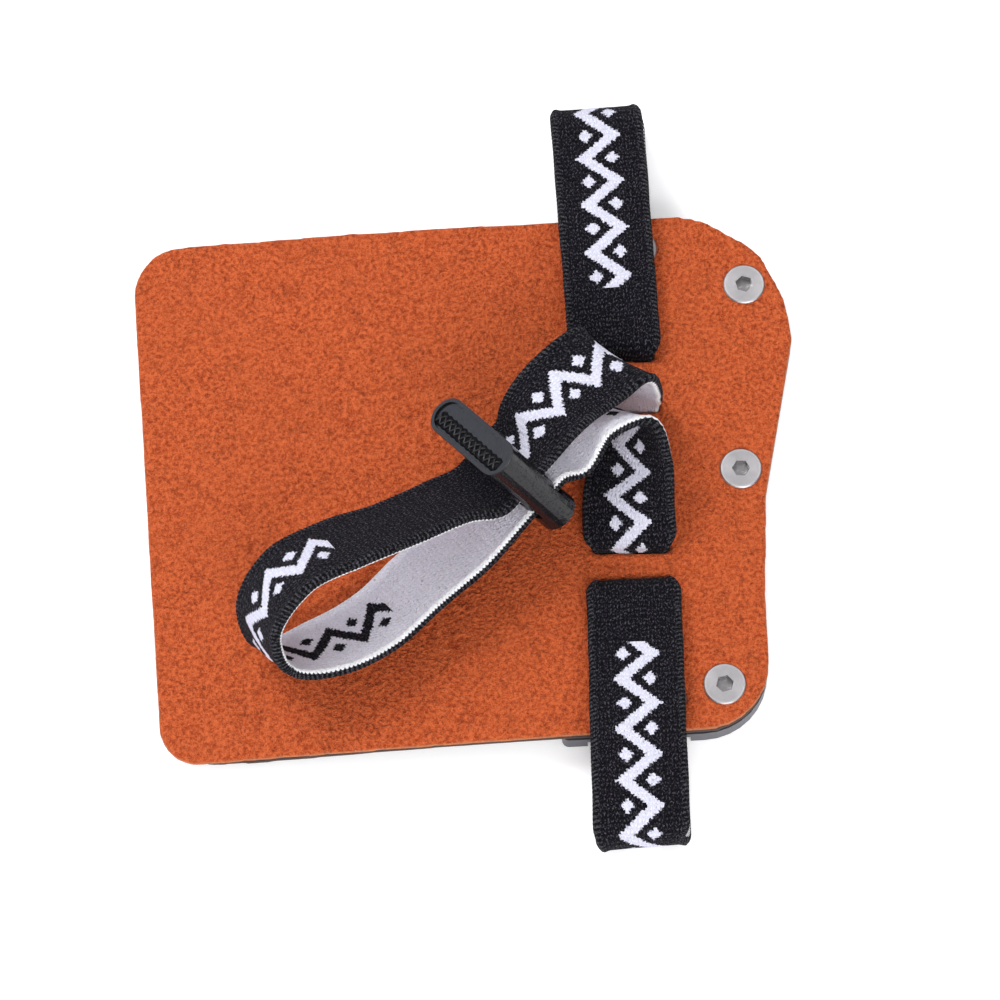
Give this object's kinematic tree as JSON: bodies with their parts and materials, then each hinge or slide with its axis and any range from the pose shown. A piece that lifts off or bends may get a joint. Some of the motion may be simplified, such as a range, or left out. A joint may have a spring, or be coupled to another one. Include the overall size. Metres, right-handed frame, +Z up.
{
  "type": "archery finger tab",
  "caption": "Suede and leather finger tab on a metal plate, with two fixed elastic finger rings and an adjustable middle-finger loop held by a slider.",
  "frame": {"origin": "middle of the whole object's box, on the surface it lies on", "axes": "+X from the soft end of the sheets towards the plate, +Y across the hand towards the upper ring, +Z up out of the suede"},
  "size_m": [0.0845, 0.1005, 0.0264],
  "materials": {
    "suede": "napped orange suede",
    "dark_leather": "smooth dark brown leather, matt cut edge",
    "anodised_plate": "dark grey anodised",
    "steel": "bright turned steel",
    "elastic": "black knitted elastic with a white inner face",
    "gloss_black": "gloss black moulding"
  },
  "bodies": {
    "root": {"suede_facing": "suede", "string_face": "dark_leather", "plate": "anodised_plate", "screw_top": "steel", "screw_middle": "steel", "screw_bottom": "steel", "screw_inner_top": "steel", "screw_inner_bottom": "steel", "upper_ring": "elastic", "lower_ring": "elastic", "middle_loop": "elastic", "slider": "gloss_black"}
  },
  "joints": []
}
